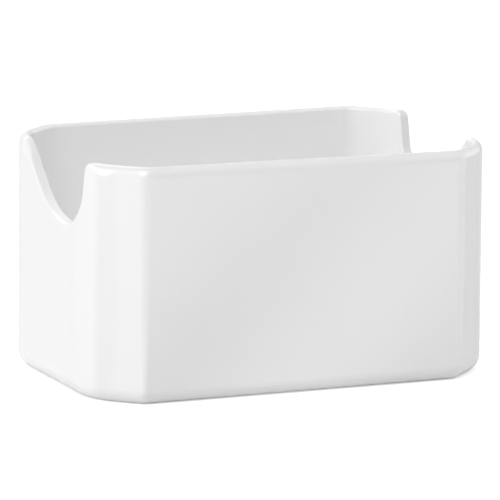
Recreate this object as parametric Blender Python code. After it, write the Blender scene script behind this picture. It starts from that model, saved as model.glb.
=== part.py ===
"""Sugar packet holder: one open-topped box of white glazed porcelain.

The long sides run along X and each end, at -X and at +X, has a finger notch in its rim.
The origin lies on the table under the middle of the base.  Sizes are in metres.
"""
import math

import bmesh
import bpy
from mathutils import Vector

MM = 0.001

# Outside of the box
BODY_LENGTH = 108.0 * MM
BODY_WIDTH = 70.0 * MM
BODY_HEIGHT = 58.2 * MM
CHAMFER_ON_SIDE = 11.7 * MM      # what a corner chamfer takes off a long side
CHAMFER_ON_END = 10.7 * MM       # and off an end
CRISP_RADIUS = 3.0 * MM          # edge between a chamfer and a long side
SOFT_RADIUS = 17.0 * MM          # bend between a chamfer and an end
BASE_RADIUS = 4.0 * MM           # lower edge, where the walls turn under

# Wall, floor and packet well
WALL = 3.0 * MM
FLOOR = 4.2 * MM
WELL_CORNER_RADIUS = 6.0 * MM    # inside corner behind a crisp edge
WELL_FLOOR_RADIUS = 5.0 * MM     # fillet between the inside walls and the floor

# Foot ring under the base
FOOT_WIDTH = 4.0 * MM
FOOT_RECESS = 1.2 * MM
FOOT_SLOPE = 0.8 * MM            # how far the inner side of the ring leans

# Rim, rounded wide on the outside and tight on the inside
RIM_SHOULDER = 1.7 * MM          # how far the outer rounding reaches in
RIM_DROP = 2.8 * MM              # and how far it reaches down
RIM_LIP = 1.0 * MM               # inner rounding

# Finger notch, measured on the crest of the rim along the end wall
NOTCH_DEPTH = 16.4 * MM
NOTCH_OFFSET = 11.2 * MM         # lowest point from the middle of the end, on the steep side
STEEP_BEND = 10.1 * MM
STEEP_ANGLE = math.radians(80.0)
STEEP_SHOULDER = 1.6 * MM
GENTLE_BEND = 26.0 * MM
GENTLE_ANGLE = math.radians(42.0)
GENTLE_SHOULDER = 3.5 * MM
NOTCH_ARRIS = 0.6 * MM           # rounding on both edges of the notch, which is cut flat
FADE_DEPTH = 5.0 * MM            # depth at which the gentle side is cut flat
FADE_RUN = 4.0 * MM              # stretch in which the arris becomes the rounding of the rim

# Facets on the round stretches
CORNER_FACETS = 6
BEND_FACETS = 6
RIM_FACETS = 4
FILLET_FACETS = 5
SOFT_FACET = 2.6 * MM            # length of one facet round a soft bend
SMOOTH_ANGLE = math.radians(35.0)

# Glaze
GLAZE_COLOUR = (0.90, 0.90, 0.89, 1.0)
GLAZE_ROUGHNESS = 0.12

# Values that follow from the sizes above
CRISP_TURN = math.atan2(CHAMFER_ON_END, CHAMFER_ON_SIDE)
SOFT_TURN = math.pi / 2.0 - CRISP_TURN
CHAMFER_LENGTH = math.hypot(CHAMFER_ON_SIDE, CHAMFER_ON_END)
END_FLAT = BODY_WIDTH / 2.0 - CHAMFER_ON_END - SOFT_RADIUS * math.tan(SOFT_TURN / 2.0)
END_REACH = END_FLAT + SOFT_RADIUS * SOFT_TURN


def end_wall(along, inset):
    """Point on the -X end; along runs towards +Y from its middle."""
    side = math.copysign(1.0, along)
    past_flat = max(abs(along) - END_FLAT, 0.0)
    turn = min(past_flat / SOFT_RADIUS, SOFT_TURN)
    on_chamfer = past_flat - turn * SOFT_RADIUS
    normal = Vector((-math.cos(turn), side * math.sin(turn), 0.0))
    onward = Vector((math.sin(turn), side * math.cos(turn), 0.0))
    bend_centre = Vector((SOFT_RADIUS - BODY_LENGTH / 2.0, 0.0, 0.0))
    bend_centre.y = side * min(abs(along), END_FLAT)
    return bend_centre + normal * (SOFT_RADIUS - inset) + onward * on_chamfer


def crisp_corner(side, inset, radius):
    """Arc from the -X chamfer to the long side at side (-1 or +1), as a list of points."""
    centre_x = CHAMFER_ON_SIDE - BODY_LENGTH / 2.0 + (inset + radius) * math.tan(CRISP_TURN / 2.0)
    centre = Vector((centre_x, side * (BODY_WIDTH / 2.0 - inset - radius), 0.0))
    turns = [CRISP_TURN * (1.0 - step / CORNER_FACETS) for step in range(CORNER_FACETS + 1)]
    return [centre + radius * Vector((-math.sin(turn), side * math.cos(turn), 0.0)) for turn in turns]


def well_corner_radius():
    """Inside corner radius, kept to the length that the soft bend leaves on the chamfer."""
    half_crisp = math.tan(CRISP_TURN / 2.0)
    half_soft = math.tan(SOFT_TURN / 2.0)
    room = CHAMFER_LENGTH - WALL * half_crisp - SOFT_RADIUS * half_soft
    return min(WELL_CORNER_RADIUS, room / half_crisp)


def notch_side(bend, angle, shoulder):
    """One side of a notch on the crest, from its lowest point to the level rim, as (run, rise, slope)."""
    rounding = 1.0 - math.cos(angle)
    bend = min(bend, NOTCH_DEPTH / rounding - shoulder)
    steps = [step / BEND_FACETS for step in range(BEND_FACETS + 1)]
    side = []
    for step in steps:
        slope = angle * step
        side.append((bend * math.sin(slope), bend * (1.0 - math.cos(slope)), slope))
    run, rise, _ = side[-1]
    shoulder_rise = NOTCH_DEPTH - shoulder * rounding
    shoulder_run = run + (shoulder_rise - rise) / math.tan(angle)
    for step in steps:
        slope = angle * (1.0 - step)
        run = shoulder_run + shoulder * (math.sin(angle) - math.sin(slope))
        side.append((run, NOTCH_DEPTH - shoulder * (1.0 - math.cos(slope)), slope))
    return side


def rim_line():
    """Stations of an end from -Y to +Y on the crest of the rim, each as (along, height, slope, cut).

    The cut is 1 where the notch is cut flat and falls to 0 on the rounded rim.
    """
    lowest = BODY_HEIGHT - NOTCH_DEPTH
    steep = notch_side(STEEP_BEND, STEEP_ANGLE, STEEP_SHOULDER)
    gentle = notch_side(GENTLE_BEND, GENTLE_ANGLE, GENTLE_SHOULDER)
    notch = [(-NOTCH_OFFSET - run, lowest + rise, -slope) for run, rise, slope in reversed(steep)]
    notch += [(run - NOTCH_OFFSET, lowest + rise, slope) for run, rise, slope in gentle[1:]]
    start = notch[0][0]
    stop = max(along for along, height, _ in notch if height < BODY_HEIGHT - FADE_DEPTH)
    before = [(along, BODY_HEIGHT, 0.0) for along in level_stations(-END_REACH, start)]
    after = [(along, BODY_HEIGHT, 0.0) for along in level_stations(notch[-1][0], END_REACH)]
    stations = []
    for along, height, slope in before[:-1] + notch + after[1:]:
        past = min(max(start - along, along - stop, 0.0) / FADE_RUN, 1.0)
        stations.append((along, height, slope, 1.0 - past * past * (3.0 - 2.0 * past)))
    return stations


def level_stations(start, stop):
    """Stations along a stretch of level rim, about one soft facet apart."""
    count = max(1, round((stop - start) / SOFT_FACET))
    return [start + (stop - start) * step / count for step in range(count + 1)]


def half_turn(points):
    """The same points on the other half of the box, half a turn about Z away."""
    return [Vector((-point.x, -point.y, point.z)) for point in points]


def ring(inset, height, corner_radius, stations):
    """Closed level outline at one inset from the outside."""
    half = list(reversed(crisp_corner(-1.0, inset, corner_radius)))
    half += [end_wall(station[0], inset) for station in stations]
    half += crisp_corner(1.0, inset, corner_radius)
    for point in half:
        point.z = height
    return half + half_turn(half)


def outer_section(turn, cut):
    """Outer rounding of the rim, as (reach from the outside, drop from the crest)."""
    reach = RIM_SHOULDER + (NOTCH_ARRIS - RIM_SHOULDER) * cut
    drop = RIM_DROP + (NOTCH_ARRIS - RIM_DROP) * cut
    return reach * (1.0 - math.cos(turn)), drop * (1.0 - math.sin(turn))


def inner_section(turn, cut):
    """Inner rounding of the rim, as (reach from the outside, drop from the crest)."""
    lip = RIM_LIP + (NOTCH_ARRIS - RIM_LIP) * cut
    return WALL - lip * (1.0 - math.sin(turn)), lip * (1.0 - math.cos(turn))


def rim_corner(side, reach, drop):
    """Arc on the level rim, part of the way from the outside corner to the corner of the well."""
    outer = crisp_corner(side, 0.0, CRISP_RADIUS)
    inner = crisp_corner(side, WALL, well_corner_radius())
    points = [outside.lerp(inside, reach / WALL) for outside, inside in zip(outer, inner)]
    for point in points:
        point.z = BODY_HEIGHT - drop
    return points


def rim_ring(section, turn, stations):
    """Closed outline on the rim; turn is the place on the section, from 0 to a quarter turn."""
    reach, drop = section(turn, 0.0)
    half = list(reversed(rim_corner(-1.0, reach, drop)))
    far = rim_corner(1.0, reach, drop)
    for along, height, slope, cut in stations:
        reach, drop = section(turn, cut)
        point = end_wall(along + drop * math.sin(slope), reach)
        point.z = height - drop * math.cos(slope)
        half.append(point)
    half += far
    return half + half_turn(half)


def quarter(facets):
    """Angles of a quarter turn in equal steps."""
    return [math.pi / 2.0 * step / facets for step in range(facets + 1)]


def box_rings():
    """Every outline of the box in order: under the foot, up the outside, over the rim, down the well."""
    stations = rim_line()
    foot_inner = BASE_RADIUS + FOOT_WIDTH
    rings = [ring(foot_inner + FOOT_SLOPE, FOOT_RECESS, CRISP_RADIUS, stations)]
    rings.append(ring(foot_inner, 0.0, CRISP_RADIUS, stations))
    for turn in quarter(FILLET_FACETS):
        inset = BASE_RADIUS * (1.0 - math.sin(turn))
        rings.append(ring(inset, BASE_RADIUS * (1.0 - math.cos(turn)), CRISP_RADIUS, stations))
    for section in (outer_section, inner_section):
        rings += [rim_ring(section, turn, stations) for turn in quarter(RIM_FACETS)]
    corner_radius = well_corner_radius()
    for turn in quarter(FILLET_FACETS):
        sunk = WELL_FLOOR_RADIUS * (1.0 - math.cos(turn))
        height = FLOOR + WELL_FLOOR_RADIUS * (1.0 - math.sin(turn))
        rings.append(ring(WALL + sunk, height, max(corner_radius - sunk, CRISP_RADIUS), stations))
    return rings


def glaze_material():
    """White glaze, glossy and not metallic."""
    material = bpy.data.materials.new("white_glaze")
    material.use_nodes = True
    shader = material.node_tree.nodes["Principled BSDF"]
    shader.inputs["Base Color"].default_value = GLAZE_COLOUR
    shader.inputs["Roughness"].default_value = GLAZE_ROUGHNESS
    shader.inputs["Metallic"].default_value = 0.0
    return material


def make_box():
    """Skin the outlines into one closed body and close it under the base and on the well floor."""
    body = bmesh.new()
    loops = [[body.verts.new(point) for point in points] for points in box_rings()]
    for lower, upper in zip(loops, loops[1:]):
        for index in range(len(lower)):
            after = (index + 1) % len(lower)
            body.faces.new((lower[index], lower[after], upper[after], upper[index]))
    body.faces.new(loops[0])
    body.faces.new(loops[-1])
    bmesh.ops.recalc_face_normals(body, faces=body.faces)
    mesh = bpy.data.meshes.new("packet_box")
    body.to_mesh(mesh)
    body.free()
    mesh.shade_smooth()
    mesh.set_sharp_from_angle(angle=SMOOTH_ANGLE)
    mesh.materials.append(glaze_material())
    box = bpy.data.objects.new("packet_box", mesh)
    bpy.context.collection.objects.link(box)


def main():
    for leftover in list(bpy.data.objects):
        bpy.data.objects.remove(leftover)
    make_box()


main()
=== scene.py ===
"""Porcelain sugar packet holder: the cast box, its white glaze and a plain studio stage.

The box stands on the table at z = 0 with its long sides along X.  Sizes are in metres.
"""
import math

import bmesh
import bpy
from bpy.props import FloatProperty, FloatVectorProperty, PointerProperty
from mathutils import Matrix, Vector


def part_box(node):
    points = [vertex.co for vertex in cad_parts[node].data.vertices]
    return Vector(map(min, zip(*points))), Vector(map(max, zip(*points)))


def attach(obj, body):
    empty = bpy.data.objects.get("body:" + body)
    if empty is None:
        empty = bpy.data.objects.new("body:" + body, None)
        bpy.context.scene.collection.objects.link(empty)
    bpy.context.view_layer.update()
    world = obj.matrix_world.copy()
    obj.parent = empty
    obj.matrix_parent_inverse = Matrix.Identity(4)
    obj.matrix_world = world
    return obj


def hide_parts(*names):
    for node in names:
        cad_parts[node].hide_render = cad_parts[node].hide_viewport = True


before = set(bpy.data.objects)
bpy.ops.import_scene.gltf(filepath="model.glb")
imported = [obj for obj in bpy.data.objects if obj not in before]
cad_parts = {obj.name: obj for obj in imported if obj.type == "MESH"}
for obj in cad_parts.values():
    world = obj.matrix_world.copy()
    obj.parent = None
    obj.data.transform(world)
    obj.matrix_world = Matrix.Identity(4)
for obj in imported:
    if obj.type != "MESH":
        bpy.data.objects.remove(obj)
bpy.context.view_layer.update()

bl_info = {
    "name": "Porcelain Packet Holder",
    "version": (1, 0, 0),
    "blender": (4, 5, 0),
    "location": "3D View > Sidebar > Porcelain",
    "description": "Casts a sugar packet holder, glazes it and sets it on a studio stage",
    "category": "Object",
}

MM = 0.001
NODE = "packet_box"
BODY = "root"
NODE_LOW, NODE_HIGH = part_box(NODE)
NODE_SIZE = NODE_HIGH - NODE_LOW

# Facets on the round stretches of the cast box
CORNER_FACETS = 10
BEND_FACETS = 16
FLANK_FACETS = 8
SHOULDER_FACETS = 10
ROLL_FACETS = 9
FILLET_FACETS = 10
WALL_ROWS = 8
SIDE_FACETS = 24
CHAMFER_FACETS = 6
SOFT_FACET = 1.2 * MM

# How much glaze lies on the porcelain, from bare to pooled
BARE = 0.0
THIN = 0.36
EVEN = 0.5
POOLED = 1.0
GLAZE_LAYER = "glaze_depth"
BEND_SHADE_LAYER = "painted_bend_shade"

# Noise over the surface, by its scale per metre: soft clouds, orange peel and the grain of bare porcelain
CLOUD_SCALE = 60.0
CLOUD_DETAIL = 3.0
PEEL_SCALE = 420.0
GRAIN_SCALE = 5200.0
FINE_DETAIL = 2.0
NOISE_MIDDLE = 0.5

# Depths at which the bare, thin and pooled glaze begin and end, and how far noise moves those edges
BARE_END = 0.12
COVER_START = 0.2
COVER_WANDER = 0.12
THIN_END = EVEN - 0.04
THIN_WANDER = 0.06
POOL_START = EVEN + 0.05

# What thin glaze and noise do to the gloss, and the height of the orange peel
GLOSS_WANDER = 0.08
THIN_ROUGHER = 0.05
THIN_COAT_LOSS = 0.7
RELIEF_STRENGTH = 0.06
RELIEF_HEIGHT = 0.2 * MM

# Painted shade: a darker band beside each soft bend, weaker near the top, measured along the end wall
BEND_SHADE_START = 25.6 * MM
BEND_SHADE_EDGE = 1.4 * MM
BEND_SHADE_FADE = 7.0 * MM
BEND_SHADE_TOP = 0.75

# Bands on the floor before the box that glow only in reflections, a painted sheen on its glossy front; by
# distance from its middle across their direction
SWEEP_TURN = math.radians(32.9)
SWEEP_FAR = -90.0 * MM
SWEEP_DARK = -57.0 * MM
SWEEP_PALE = -20.0 * MM
SWEEP_END = 16.0 * MM
SWEEP_SIDE = 60.0 * MM
SWEEP_FAR_SHARE = 0.65
SWEEP_SIDE_SHARE = 0.8

# The bands fade out at the foot of the front and beside its left corner
SWEEP_FRONT = -41.0 * MM
SWEEP_BACK = -29.0 * MM
SWEEP_LEFT = -80.0 * MM
SWEEP_RIGHT = -55.0 * MM

# Soft lamps, square and all at one distance from the box
SOFTBOX_SIZE = 1.4
WIDE_SOFTBOX = 2.8
SOFTBOX_DISTANCE = 2.0

# Floor and camera
FLOOR_RADIUS = 4.0
FLOOR_SIDES = 96
SENSOR_WIDTH = 36.0
FARTHEST_VIEW = 50.0
BLACK = (0.0, 0.0, 0.0)
FULL_WHITE = (1.0, 1.0, 1.0)


def length(name, description, millimetres):
    """A length that a user may change, with its default in millimetres."""
    return FloatProperty(
        name=name, description=description, default=millimetres * MM, precision=5, unit="LENGTH")


def angle(name, description, degrees):
    """An angle that a user may change, with its default in degrees."""
    return FloatProperty(name=name, description=description, default=math.radians(degrees), subtype="ANGLE")


def amount(name, description, value):
    """A plain number that a user may change."""
    return FloatProperty(name=name, description=description, default=value, precision=4)


def colour(name, description, value):
    """A linear colour that a user may change."""
    return FloatVectorProperty(
        name=name, description=description, default=value, size=3, min=0.0, max=1.0, subtype="COLOR")


class PorcelainSizes(bpy.types.PropertyGroup):
    """Sizes of the cast box."""

    body_length: length("Length", "Box along its long sides", NODE_SIZE.x / MM)
    body_width: length("Width", "Box from one long side to the other", NODE_SIZE.y / MM)
    body_height: length("Height", "Table to the level rim", NODE_SIZE.z / MM)
    chamfer_on_side: length("Chamfer on side", "What a corner chamfer takes off a long side", 11.7)
    chamfer_on_end: length("Chamfer on end", "What a corner chamfer takes off an end", 10.7)
    crisp_radius: length("Crisp radius", "Edge between a chamfer and a long side, at the base", 2.4)
    eased_radius: length("Eased radius", "The same edge where it meets the rim", 4.6)
    soft_radius: length("Soft radius", "Bend between a chamfer and an end", 17.0)
    base_radius: length("Base radius", "Lower edge, where the walls turn under", 4.0)
    wall: length("Wall", "Thickness of the walls", 3.0)
    floor: length("Floor", "Table to the floor of the well", 4.2)
    well_corner_radius: length("Well corner", "Inside corner behind a crisp edge", 6.0)
    well_floor_radius: length("Well fillet", "Between the inside walls and the floor", 5.0)
    foot_width: length("Foot width", "Flat of the ring that the box stands on", 4.0)
    foot_recess: length("Foot recess", "How far the base lies above the table", 1.2)
    foot_round: length("Foot round", "Rounding on the inner side of the foot ring", 0.5)
    rim_shoulder: length("Rim shoulder", "How far the outer rounding of the rim reaches in", 1.7)
    rim_drop: length("Rim drop", "How far the outer rounding of the rim reaches down", 2.8)
    rim_lip: length("Rim lip", "Inner rounding of the rim", 1.0)
    notch_arris: length("Notch arris", "Rounding on the edges of the notches, which are cut flat", 0.6)
    fade_depth: length("Fade depth", "Depth at which the gentle side of a notch is cut flat", 5.0)
    fade_run: length("Fade run", "Stretch in which the arris becomes the rounding of the rim", 4.0)
    notch_depth: length("Notch depth", "Level rim to the lowest point of a finger notch", 16.4)
    notch_offset: length("Notch offset", "Lowest point from the middle of the end", 11.2)
    steep_bend: length("Steep bend", "Radius at the foot of the steep side", 10.1)
    steep_angle: angle("Steep angle", "Slope of the steep side", 82.0)
    steep_shoulder: length("Steep shoulder", "Radius at the head of the steep side", 2.1)
    gentle_bend: length("Gentle bend", "Radius at the foot of the gentle side", 26.0)
    gentle_angle: angle("Gentle angle", "Slope of the gentle side", 42.0)
    gentle_shoulder: length("Gentle shoulder", "Radius at the head of the gentle side", 3.5)
    kiln_tilt: length("Kiln tilt", "How much the rim of one end sank in the kiln", 0.37)
    kiln_twist: length("Kiln twist", "How much the rim twisted in the kiln", 0.23)


class GlazeFinish(bpy.types.PropertyGroup):
    """Colours and gloss of the glaze and of the bare foot ring."""

    white: colour("Glaze white", "Glaze at its usual depth", (0.95, 0.95, 0.95))
    # Colour of the painted shade beside the soft bends
    bend_shade_tone: colour("Streak", "Where the glaze has run down beside a bend", (0.885, 0.885, 0.885))
    thin_tone: colour("Thin glaze", "Where the glaze runs off an edge", (0.9, 0.897, 0.89))
    pool_tone: colour("Pooled glaze", "Where the glaze gathers in a corner", (0.935, 0.941, 0.943))
    bare_tone: colour("Bare porcelain", "Unglazed face of the foot ring", (0.78, 0.76, 0.72))
    gloss: amount("Roughness", "Roughness of the glaze", 0.3)
    bare_roughness: amount("Bare roughness", "Roughness of the unglazed foot ring", 0.85)
    sheen: amount("Sheen", "Reflection of the glaze below its clear top", 0.05)
    coat: amount("Coat", "How much clear gloss lies on the glaze", 1.0)
    coat_gloss: amount("Coat roughness", "Roughness of the clear top of the glaze", 0.12)
    coat_index: amount("Coat index", "Refractive index of the clear top of the glaze", 1.7)


class StudioStage(bpy.types.PropertyGroup):
    """Camera, lamps and floor."""

    azimuth: angle("Azimuth", "Camera round the box, from the -Y side", -23.115)
    elevation: angle("Elevation", "Camera above the table", 11.137)
    roll: angle("Roll", "Camera about its own axis", 0.523)
    distance: length("Distance", "Camera to the middle of the box", 1605.0)
    lens: amount("Lens", "Focal length in millimetres", 463.97)
    shift_x: amount("Shift X", "Camera shift across", 0.00083)
    shift_y: amount("Shift Y", "Camera shift up", 0.00296)
    floor_colour: colour("Floor", "Pale floor", (0.88, 0.88, 0.88))
    floor_lift: amount("Floor lift", "White added to the floor as the camera sees it", 0.5)
    mirror_lift: amount("Mirror lift", "White added to the floor as reflections see it", 0.1)
    # Glow of the floor bands that only reflections see, a painted sheen on the front of the box
    sheen_band_glow: amount("Sweep lift", "White added to the paler bands of the floor in reflections", 0.9)
    sky_level: amount("Sky level", "Even light from all round", 0.05)


class BoxForm:
    """Closed outlines of the box, worked out from its sizes."""

    def __init__(self, sizes):
        self.sizes = sizes
        self.crisp_turn = math.atan2(sizes.chamfer_on_end, sizes.chamfer_on_side)
        self.soft_turn = math.pi / 2.0 - self.crisp_turn
        soft_tangent = sizes.soft_radius * math.tan(self.soft_turn / 2.0)
        self.end_flat = sizes.body_width / 2.0 - sizes.chamfer_on_end - soft_tangent
        self.end_reach = self.end_flat + sizes.soft_radius * self.soft_turn
        self.stations = self.rim_line()
        level = sizes.body_height
        self.cut_start = min(along for along, height, _ in self.stations if height < level)
        self.cut_stop = max(along for along, height, _ in self.stations if height < level - sizes.fade_depth)

    def end_wall(self, along, inset):
        """Point on the -X end, its bends and its chamfers; along runs towards +Y from its middle."""
        side = math.copysign(1.0, along)
        past_flat = max(abs(along) - self.end_flat, 0.0)
        turn = min(past_flat / self.sizes.soft_radius, self.soft_turn)
        on_chamfer = past_flat - turn * self.sizes.soft_radius
        normal = Vector((-math.cos(turn), side * math.sin(turn), 0.0))
        onward = Vector((math.sin(turn), side * math.cos(turn), 0.0))
        bend_centre = Vector((self.sizes.soft_radius - self.sizes.body_length / 2.0, 0.0, 0.0))
        bend_centre.y = side * min(abs(along), self.end_flat)
        return bend_centre + normal * (self.sizes.soft_radius - inset) + onward * on_chamfer

    def crisp_corner(self, side, inset, radius):
        """Arc from the -X chamfer to the long side at side (-1 or +1)."""
        tangent = (inset + radius) * math.tan(self.crisp_turn / 2.0)
        centre_x = self.sizes.chamfer_on_side - self.sizes.body_length / 2.0 + tangent
        centre = Vector((centre_x, side * (self.sizes.body_width / 2.0 - inset - radius), 0.0))
        turns = [self.crisp_turn * (1.0 - step / CORNER_FACETS) for step in range(CORNER_FACETS + 1)]
        return [centre + radius * Vector((-math.sin(turn), side * math.cos(turn), 0.0)) for turn in turns]

    def notch_side(self, bend, slope_angle, shoulder):
        """One side of a notch from its lowest point to the level rim, as (run, rise, slope)."""
        depth = self.sizes.notch_depth
        side = []
        for step in range(BEND_FACETS + 1):
            slope = slope_angle * step / BEND_FACETS
            side.append((bend * math.sin(slope), bend * (1.0 - math.cos(slope)), slope))
        run, rise, _ = side[-1]
        head_rise = depth - shoulder * (1.0 - math.cos(slope_angle))
        head_run = run + (head_rise - rise) / math.tan(slope_angle)
        for step in range(1, FLANK_FACETS):
            share = step / FLANK_FACETS
            side.append((run + (head_run - run) * share, rise + (head_rise - rise) * share, slope_angle))
        for step in range(SHOULDER_FACETS + 1):
            slope = slope_angle * (1.0 - step / SHOULDER_FACETS)
            over = shoulder * (math.sin(slope_angle) - math.sin(slope))
            side.append((head_run + over, depth - shoulder * (1.0 - math.cos(slope)), slope))
        return side

    def rim_line(self):
        """Stations of an end from -Y to +Y on the crest of the rim, as (along, height, slope)."""
        sizes = self.sizes
        lowest = sizes.body_height - sizes.notch_depth
        steep = self.notch_side(sizes.steep_bend, sizes.steep_angle, sizes.steep_shoulder)
        gentle = self.notch_side(sizes.gentle_bend, sizes.gentle_angle, sizes.gentle_shoulder)
        notch = [(-sizes.notch_offset - run, lowest + rise, -slope) for run, rise, slope in reversed(steep)]
        notch += [(run - sizes.notch_offset, lowest + rise, slope) for run, rise, slope in gentle[1:]]
        before = self.level_stations(-self.end_reach, notch[0][0])
        after = self.level_stations(notch[-1][0], self.end_reach)
        return before[:-1] + notch + after[1:]

    def level_stations(self, start, stop):
        """Stations along a stretch of level rim, about one soft facet apart."""
        count = max(1, round((stop - start) / SOFT_FACET))
        level = self.sizes.body_height
        return [(start + (stop - start) * step / count, level, 0.0) for step in range(count + 1)]

    def join(self, near, end, far):
        """Closed outline through the corner arcs and the stations of one end, then half a turn round."""
        across = Vector((-far[-1].x, far[-1].y, far[-1].z))
        half = near + between(near[-1], end[0], CHAMFER_FACETS) + end
        half += between(end[-1], far[0], CHAMFER_FACETS) + far + between(far[-1], across, SIDE_FACETS)
        return half + half_turn(half)

    def outline(self, inset, height, corner_radius):
        """Closed level outline at one inset from the outside."""
        near = list(reversed(self.crisp_corner(-1.0, inset, corner_radius)))
        far = self.crisp_corner(1.0, inset, corner_radius)
        end = [self.end_wall(along, inset) for along, _, _ in self.stations]
        for point in near + end + far:
            point.z = height
        return self.join(near, end, far)

    def rim_corner(self, side, reach, drop):
        """Arc on the level rim, between the outside and the well."""
        sizes = self.sizes
        outer = self.crisp_corner(side, 0.0, sizes.eased_radius)
        inner = self.crisp_corner(side, sizes.wall, sizes.well_corner_radius)
        arc = blend(outer, inner, reach / sizes.wall)
        for point in arc:
            point.z = sizes.body_height - drop
        return arc

    def rim_outline(self, section, turn):
        """Closed outline on the rim; section gives (reach from the outside, drop from the crest)."""
        reach, drop = section(turn, 0.0)
        near = list(reversed(self.rim_corner(-1.0, reach, drop)))
        far = self.rim_corner(1.0, reach, drop)
        end = []
        for along, height, slope in self.stations:
            reach, drop = section(turn, self.cut(along))
            point = self.end_wall(along + drop * math.sin(slope), reach)
            point.z = height - drop * math.cos(slope)
            end.append(point)
        return self.join(near, end, far)

    def cut(self, along):
        """1 in the notch, where the rim is cut flat, and 0 on the rounded rim away from it."""
        past = max(self.cut_start - along, along - self.cut_stop, 0.0)
        return 1.0 - smooth(past / self.sizes.fade_run)

    def outer_section(self, turn, cut):
        """Outer rounding of the rim; turn runs from 0 on the wall to a quarter turn on the crest."""
        shoulder = mix(self.sizes.rim_shoulder, self.sizes.notch_arris, cut)
        drop = mix(self.sizes.rim_drop, self.sizes.notch_arris, cut)
        return shoulder * (1.0 - math.cos(turn)), drop * (1.0 - math.sin(turn))

    def inner_section(self, turn, cut):
        """Inner rounding of the rim; turn runs from 0 on the crest to a quarter turn in the well."""
        lip = mix(self.sizes.rim_lip, self.sizes.notch_arris, cut)
        return self.sizes.wall - lip * (1.0 - math.sin(turn)), lip * (1.0 - math.cos(turn))

    def streaks(self):
        """How strong the painted shade beside the bends is at each point of an outline."""
        crisp = self.crisp_corner(1.0, 0.0, self.sizes.crisp_radius)[0]
        chamfer = (crisp - self.end_wall(self.end_reach, 0.0)).length
        corner = [0.0] * (CORNER_FACETS + 1)
        steps = range(1, CHAMFER_FACETS)
        outward = [bend_shade(self.end_reach + chamfer * step / CHAMFER_FACETS) for step in steps]
        end = [bend_shade(abs(along)) for along, _, _ in self.stations]
        half = corner + outward[::-1] + end + outward + corner + [0.0] * (SIDE_FACETS - 1)
        return half + half

    def rows(self):
        """Every outline in order, from under the foot, up the outside, over the rim and down the well.

        Each comes with the depth of its glaze and with how much of the painted shade beside the bends it has.
        """
        sizes = self.sizes
        crisp = sizes.crisp_radius
        ring_inner = sizes.base_radius + sizes.foot_width
        slope_inset = ring_inner + sizes.foot_recess
        disc_inset = slope_inset + sizes.foot_width
        yield self.outline(disc_inset, sizes.foot_recess, crisp), EVEN, 0.0
        yield self.outline(slope_inset + sizes.foot_round, sizes.foot_recess, crisp), EVEN, 0.0
        yield self.outline(slope_inset, sizes.foot_recess - sizes.foot_round / 2.0, crisp), POOLED, 0.0
        yield self.outline(ring_inner + sizes.foot_round / 2.0, sizes.foot_round / 2.0, crisp), THIN, 0.0
        yield self.outline(ring_inner, 0.0, crisp), BARE, 0.0
        # The third value is the share of the painted shade beside the bends, strongest low on the wall
        for turn in quarter(FILLET_FACETS):
            sunk = sizes.base_radius * (1.0 - math.sin(turn))
            height = sizes.base_radius * (1.0 - math.cos(turn))
            yield self.outline(sunk, height, crisp), BARE if turn == 0.0 else EVEN, math.sin(turn)
        base = self.outline(0.0, sizes.base_radius, crisp)
        outer = self.rim_outline(self.outer_section, 0.0)
        inner = self.rim_outline(self.inner_section, math.pi / 2.0)
        well = self.outline(sizes.wall, sizes.floor + sizes.well_floor_radius, sizes.well_corner_radius)
        for step in range(1, WALL_ROWS):
            share = step / WALL_ROWS
            yield blend(base, outer, share), EVEN, mix(1.0, BEND_SHADE_TOP, share)
        for turn in quarter(ROLL_FACETS):
            thinned = mix(EVEN, THIN, math.sin(turn) ** 2)
            yield self.rim_outline(self.outer_section, turn), thinned, BEND_SHADE_TOP * (1.0 - math.sin(turn))
        for turn in quarter(ROLL_FACETS):
            yield self.rim_outline(self.inner_section, turn), mix(EVEN, THIN, math.cos(turn) ** 2), 0.0
        for step in range(1, WALL_ROWS):
            yield blend(inner, well, step / WALL_ROWS), EVEN, 0.0
        for turn in quarter(FILLET_FACETS):
            sunk = sizes.well_floor_radius * (1.0 - math.cos(turn))
            height = sizes.floor + sizes.well_floor_radius * (1.0 - math.sin(turn))
            pooled = mix(EVEN, POOLED, math.sin(turn))
            yield self.outline(sizes.wall + sunk, height, sizes.well_corner_radius - sunk), pooled, 0.0
        floor_inset = sizes.wall + 2.0 * sizes.well_floor_radius
        floor_corner = sizes.well_corner_radius - sizes.well_floor_radius
        yield self.outline(floor_inset, sizes.floor, floor_corner), EVEN, 0.0

    def fired(self, points):
        """The same outline after the kiln, whose heat tilts and twists the rim a little."""
        sizes = self.sizes
        warped = []
        for point in points:
            along = point.x / (sizes.body_length / 2.0)
            across = point.y / (sizes.body_width / 2.0)
            share = (point.z / sizes.body_height) ** 2
            sink = share * along * (sizes.kiln_tilt - sizes.kiln_twist * across)
            warped.append(Vector((point.x, point.y, point.z - sink)))
        return warped


def quarter(facets):
    """Angles of a quarter turn in equal steps."""
    return [math.pi / 2.0 * step / facets for step in range(facets + 1)]


def mix(start, stop, share):
    """Value part of the way from one to another."""
    return start + (stop - start) * share


def smooth(share):
    """Smooth step from 0 to 1, level at both ends."""
    share = min(max(share, 0.0), 1.0)
    return share * share * (3.0 - 2.0 * share)


def bend_shade(along):
    """Strength of the painted shade beside a bend, at a distance along the wall from the middle of an end."""
    past = along - BEND_SHADE_START
    return smooth(past / BEND_SHADE_EDGE) * (1.0 - smooth((past - BEND_SHADE_EDGE) / BEND_SHADE_FADE))


def between(start, stop, facets):
    """Points that split a straight stretch, without its ends."""
    return [start.lerp(stop, step / facets) for step in range(1, facets)]


def half_turn(points):
    """The same points on the other half of the box, half a turn about Z away."""
    return [Vector((-point.x, -point.y, point.z)) for point in points]


def blend(lower, upper, share):
    """Outline part of the way from one outline to another."""
    return [start.lerp(stop, share) for start, stop in zip(lower, upper)]


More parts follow.
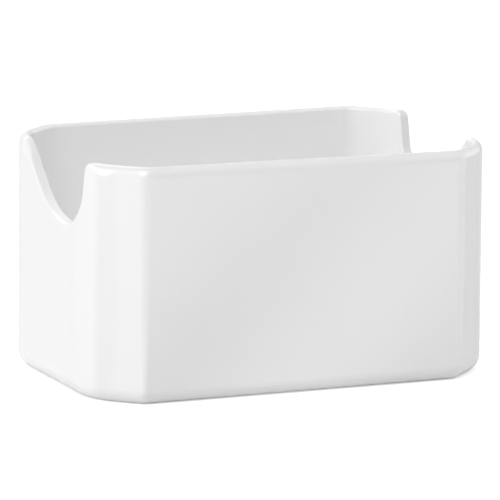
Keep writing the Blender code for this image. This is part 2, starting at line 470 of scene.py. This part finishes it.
def place_ring(box, points):
    """Move the selected ring of vertices to an outline."""
    mesh = bmesh.from_edit_mesh(box.data)
    ring = [vertex for vertex in mesh.verts if vertex.select]
    if len(ring) != len(points):
        raise RuntimeError(f"{len(ring)} vertices are selected for an outline of {len(points)} points")
    for vertex, point in zip(ring, points):
        vertex.co = point
    bmesh.update_edit_mesh(box.data)


def write_layer(box, name, values):
    """Store one value for each vertex."""
    layer = box.data.attributes.new(name, "FLOAT", "POINT")
    layer.data.foreach_set("value", values)


def cast_box(sizes):
    """Draw the box up from a disc, one extruded ring after another, and return it."""
    form = BoxForm(sizes)
    rows = [(form.fired(points), depth, run) for points, depth, run in form.rows()]
    bpy.ops.object.select_all(action="DESELECT")
    bpy.ops.mesh.primitive_circle_add(vertices=len(rows[0][0]), fill_type="NGON")
    box = bpy.context.object
    box.name = "porcelain_box"
    bpy.ops.object.mode_set(mode="EDIT")
    place_ring(box, rows[0][0])
    for points, _, _ in rows[1:]:
        bpy.ops.mesh.extrude_region_move()
        place_ring(box, points)
    bpy.ops.mesh.select_all(action="SELECT")
    bpy.ops.mesh.normals_make_consistent(inside=False)
    bpy.ops.object.mode_set(mode="OBJECT")
    # Painted shade beside the bends, one value for each vertex
    streaks = form.streaks()
    write_layer(box, GLAZE_LAYER, [depth for points, depth, _ in rows for _ in points])
    write_layer(box, BEND_SHADE_LAYER, [run * shade_share for _, _, run in rows for shade_share in streaks])
    bpy.ops.object.shade_smooth()
    modifier = box.modifiers.new("even_shading", "WEIGHTED_NORMAL")
    modifier.keep_sharp = True
    bpy.ops.object.modifier_apply(modifier=modifier.name)
    return box


class Wire:
    """An output socket in a node tree; arithmetic on wires adds Math nodes."""

    def __init__(self, tree, socket=None):
        self.tree = tree
        self.socket = socket

    def node(self, kind, settings=None, inputs=None, output=0):
        """Add a node with its settings and the values or links of its sockets; return one output."""
        made = self.tree.nodes.new(kind)
        for name, value in (settings or {}).items():
            setattr(made, name, value)
        for name, value in (inputs or {}).items():
            if isinstance(value, Wire):
                self.tree.links.new(value.socket, made.inputs[name])
            else:
                made.inputs[name].default_value = value
        return Wire(self.tree, made.outputs[output] if made.outputs else None)

    def math(self, operation, first, second):
        """Result of a Math node on two wires or numbers."""
        return self.node("ShaderNodeMath", {"operation": operation}, {0: first, 1: second})

    def __add__(self, other):
        return self.math("ADD", self, other)

    __radd__ = __add__

    def __mul__(self, other):
        return self.math("MULTIPLY", self, other)

    __rmul__ = __mul__

    def __sub__(self, other):
        return self.math("SUBTRACT", self, other)

    def __rsub__(self, other):
        return self.math("SUBTRACT", other, self)

    def ramp(self, start, stop):
        """Smooth step from 0 at start to 1 at stop."""
        settings = {"interpolation_type": "SMOOTHSTEP"}
        return self.node("ShaderNodeMapRange", settings, {"Value": self, "From Min": start, "From Max": stop})

    def tint(self, base, over):
        """Colour that goes from base to over as this wire goes from 0 to 1."""
        settings = {"data_type": "RGBA", "clamp_factor": False}
        return self.node("ShaderNodeMix", settings, {0: self, 6: base, 7: over}, output=2)


def rgba(values):
    """Colour with full alpha."""
    return (*values, 1.0)


def new_material(name):
    """Empty node material and a wire to build it with."""
    material = bpy.data.materials.new(name)
    material.use_nodes = True
    material.node_tree.nodes.clear()
    return material, Wire(material.node_tree)


def finish_material(wire, shader):
    """Join a shader to the material's output."""
    wire.node("ShaderNodeOutputMaterial", None, {"Surface": shader})


def noise(place, scale, detail):
    """Noise from 0 to 1 over a surface."""
    return place.node("ShaderNodeTexNoise", None, {"Vector": place, "Scale": scale, "Detail": detail})


def glaze_material(finish):
    """White glaze, thin on edges and pooled in corners, with shade painted beside the soft bends and the foot
    ring left bare.
    """
    material, wire = new_material("white_glaze")
    place = wire.node("ShaderNodeTexCoord", output="Object")
    depth = wire.node("ShaderNodeAttribute", {"attribute_name": GLAZE_LAYER}, output="Fac")
    cloud = noise(place, CLOUD_SCALE, CLOUD_DETAIL)
    peel = noise(place, PEEL_SCALE, FINE_DETAIL)
    grain = noise(place, GRAIN_SCALE, FINE_DETAIL)
    bare = 1.0 - (depth + (peel - NOISE_MIDDLE) * COVER_WANDER).ramp(BARE_END, COVER_START)
    thin = 1.0 - (depth + (cloud - NOISE_MIDDLE) * THIN_WANDER).ramp(THIN, THIN_END)
    pooled = depth.ramp(POOL_START, POOLED)
    # Painted shade: a darker band beside each soft bend
    run = wire.node("ShaderNodeAttribute", {"attribute_name": BEND_SHADE_LAYER}, output="Fac")
    white = run.tint(rgba(finish.white), rgba(finish.bend_shade_tone))
    white = thin.tint(white, rgba(finish.thin_tone))
    white = pooled.tint(white, rgba(finish.pool_tone))
    tone = bare.tint(white, rgba(finish.bare_tone))
    roughness = finish.gloss + (cloud - NOISE_MIDDLE) * GLOSS_WANDER + thin * THIN_ROUGHER
    roughness = roughness + bare * (finish.bare_roughness - finish.gloss)
    relief = peel * (1.0 - bare) + grain * bare
    bump = wire.node(
        "ShaderNodeBump", None, {"Strength": RELIEF_STRENGTH, "Distance": RELIEF_HEIGHT, "Height": relief})
    shader = wire.node("ShaderNodeBsdfPrincipled", None, {
        "Base Color": tone,
        "Roughness": roughness,
        "Specular IOR Level": finish.sheen,
        "Coat Weight": (1.0 - bare) * (1.0 - thin * THIN_COAT_LOSS) * finish.coat,
        "Coat Roughness": finish.coat_gloss,
        "Coat IOR": finish.coat_index,
        "Normal": bump,
    })
    finish_material(wire, shader)
    return material


def seen_directly(wire):
    """Two masks of 1 and 0: rays from the camera, and rays that a glossy surface or glass sends on."""
    kinds = ("Is Camera Ray", "Is Glossy Ray", "Is Transmission Ray")
    camera, glossy, through = [wire.node("ShaderNodeLightPath", output=kind) for kind in kinds]
    return camera, glossy + through


def painted_sheen_bands(wire):
    """0 to 1 over the floor: bands that glow only in reflections, a painted sheen that the glossy front of
    the box mirrors.
    """
    place = {"Vector": wire.node("ShaderNodeTexCoord", output="Object")}
    across = wire.node("ShaderNodeSeparateXYZ", None, place, "X")
    depth = wire.node("ShaderNodeSeparateXYZ", None, place, "Y")
    offset = across * math.cos(SWEEP_TURN) + depth * math.sin(SWEEP_TURN)
    near = offset.ramp(SWEEP_DARK, SWEEP_PALE) * (1.0 - offset.ramp(SWEEP_PALE, SWEEP_END))
    far = 1.0 - offset.ramp(SWEEP_FAR, SWEEP_DARK)
    side = offset.ramp(SWEEP_END, SWEEP_SIDE)
    before = across.ramp(SWEEP_LEFT, SWEEP_RIGHT) * (1.0 - depth.ramp(SWEEP_FRONT, SWEEP_BACK))
    return (near + far * SWEEP_FAR_SHARE + side * SWEEP_SIDE_SHARE) * before


def floor_material(stage):
    """Pale matt floor that keeps its shadows, lifted towards white for the camera and in reflections, with
    bands that glow only in reflections to paint a sheen on the box.
    """
    material, wire = new_material("pale_floor")
    matt = wire.node("ShaderNodeBsdfDiffuse", None, {"Color": rgba(stage.floor_colour)})
    camera, mirrored = seen_directly(wire)
    # Reflections see glowing bands on the floor, a painted sheen on the front of the box
    level = camera * stage.floor_lift + mirrored * (stage.mirror_lift + painted_sheen_bands(wire) * stage.sheen_band_glow)
    white = level.tint(rgba(BLACK), rgba(FULL_WHITE))
    lift = wire.node("ShaderNodeEmission", None, {"Color": white})
    finish_material(wire, wire.node("ShaderNodeAddShader", None, {0: matt, 1: lift}))
    return material


def aim(target, azimuth, elevation, distance):
    """World matrix of a lamp or camera at a distance from a target and looking at it."""
    back = Vector((
        math.sin(azimuth) * math.cos(elevation),
        -math.cos(azimuth) * math.cos(elevation),
        math.sin(elevation),
    ))
    turn = back.to_track_quat("Z", "Y").to_matrix().to_4x4()
    return Matrix.Translation(target + back * distance) @ turn


def add_lamp(name, azimuth, elevation, power, size=SOFTBOX_SIZE):
    """Square soft lamp, hidden from the camera, that looks at the middle of the box."""
    bpy.ops.object.light_add(type="AREA")
    lamp = bpy.context.object
    lamp.name = name
    lamp.data.size = size
    lamp.data.energy = power
    lamp.visible_camera = False
    lamp.matrix_world = aim(middle(), math.radians(azimuth), math.radians(elevation), SOFTBOX_DISTANCE)


def middle():
    """Middle of the box."""
    return (NODE_LOW + NODE_HIGH) / 2.0


def add_camera(stage):
    """Camera at the photograph's viewing angle."""
    bpy.ops.object.camera_add()
    camera = bpy.context.object
    camera.data.sensor_width = SENSOR_WIDTH
    camera.data.lens = stage.lens
    camera.data.shift_x = stage.shift_x
    camera.data.shift_y = stage.shift_y
    camera.data.clip_end = FARTHEST_VIEW
    spin = Matrix.Rotation(stage.roll, 4, "Z")
    camera.matrix_world = aim(middle(), stage.azimuth, stage.elevation, stage.distance) @ spin
    bpy.context.scene.camera = camera


def add_floor(stage):
    """Wide pale disc under the box."""
    bpy.ops.object.select_all(action="DESELECT")
    bpy.ops.mesh.primitive_circle_add(vertices=FLOOR_SIDES, radius=FLOOR_RADIUS, fill_type="NGON")
    floor = bpy.context.object
    floor.name = "floor"
    floor.data.materials.append(floor_material(stage))


def add_sky(stage):
    """Even light from all round, which the camera and reflections see as white."""
    world = bpy.data.worlds.new("studio")
    world.use_nodes = True
    world.node_tree.nodes.clear()
    wire = Wire(world.node_tree)
    camera, mirrored = seen_directly(wire)
    level = stage.sky_level + (camera + mirrored) * (1.0 - stage.sky_level)
    sky = wire.node("ShaderNodeBackground", None, {"Strength": level})
    wire.node("ShaderNodeOutputWorld", None, {"Surface": sky})
    bpy.context.scene.world = world


class PORCELAIN_OT_cast_box(bpy.types.Operator):
    """Cast the box and glaze it"""

    bl_idname = "porcelain.cast_box"
    bl_label = "Cast Box"

    def execute(self, context):
        box = cast_box(context.scene.porcelain_sizes)
        box.data.materials.append(glaze_material(context.scene.glaze_finish))
        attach(box, BODY)
        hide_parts(NODE)
        return {"FINISHED"}


class PORCELAIN_OT_set_stage(bpy.types.Operator):
    """Lay the floor and set the lamps and the camera"""

    bl_idname = "porcelain.set_stage"
    bl_label = "Set Stage"

    def execute(self, context):
        stage = context.scene.studio_stage
        context.scene.view_settings.view_transform = "Standard"
        add_floor(stage)
        add_sky(stage)
        add_lamp("key_softbox", azimuth=-40.0, elevation=42.0, power=16.0)
        add_lamp("top_softbox", azimuth=-10.0, elevation=65.0, power=4.0)
        add_lamp("fill_softbox", azimuth=40.0, elevation=45.0, power=2.5)
        add_lamp("left_softbox", azimuth=-90.0, elevation=20.0, power=15.5)
        add_lamp("right_softbox", azimuth=90.0, elevation=35.0, power=20.0, size=WIDE_SOFTBOX)
        add_lamp("back_softbox", azimuth=180.0, elevation=40.0, power=17.5)
        add_camera(stage)
        return {"FINISHED"}


class PORCELAIN_PT_holder(bpy.types.Panel):
    """Sizes, glaze and stage of the packet holder"""

    bl_label = "Packet Holder"
    bl_space_type = "VIEW_3D"
    bl_region_type = "UI"
    bl_category = "Porcelain"

    def draw(self, context):
        for group in ("porcelain_sizes", "glaze_finish", "studio_stage"):
            values = getattr(context.scene, group)
            column = self.layout.column(heading=group)
            for name in values.__annotations__:
                column.prop(values, name)
        for operator in (PORCELAIN_OT_cast_box, PORCELAIN_OT_set_stage):
            self.layout.operator(operator.bl_idname)


CLASSES = (
    PorcelainSizes,
    GlazeFinish,
    StudioStage,
    PORCELAIN_OT_cast_box,
    PORCELAIN_OT_set_stage,
    PORCELAIN_PT_holder,
)


def register():
    for made in CLASSES:
        bpy.utils.register_class(made)
    bpy.types.Scene.porcelain_sizes = PointerProperty(type=PorcelainSizes)
    bpy.types.Scene.glaze_finish = PointerProperty(type=GlazeFinish)
    bpy.types.Scene.studio_stage = PointerProperty(type=StudioStage)


def unregister():
    del bpy.types.Scene.studio_stage
    del bpy.types.Scene.glaze_finish
    del bpy.types.Scene.porcelain_sizes
    for made in reversed(CLASSES):
        bpy.utils.unregister_class(made)


def main():
    register()
    bpy.ops.porcelain.cast_box()
    bpy.ops.porcelain.set_stage()


if __name__ == "__main__":
    main()
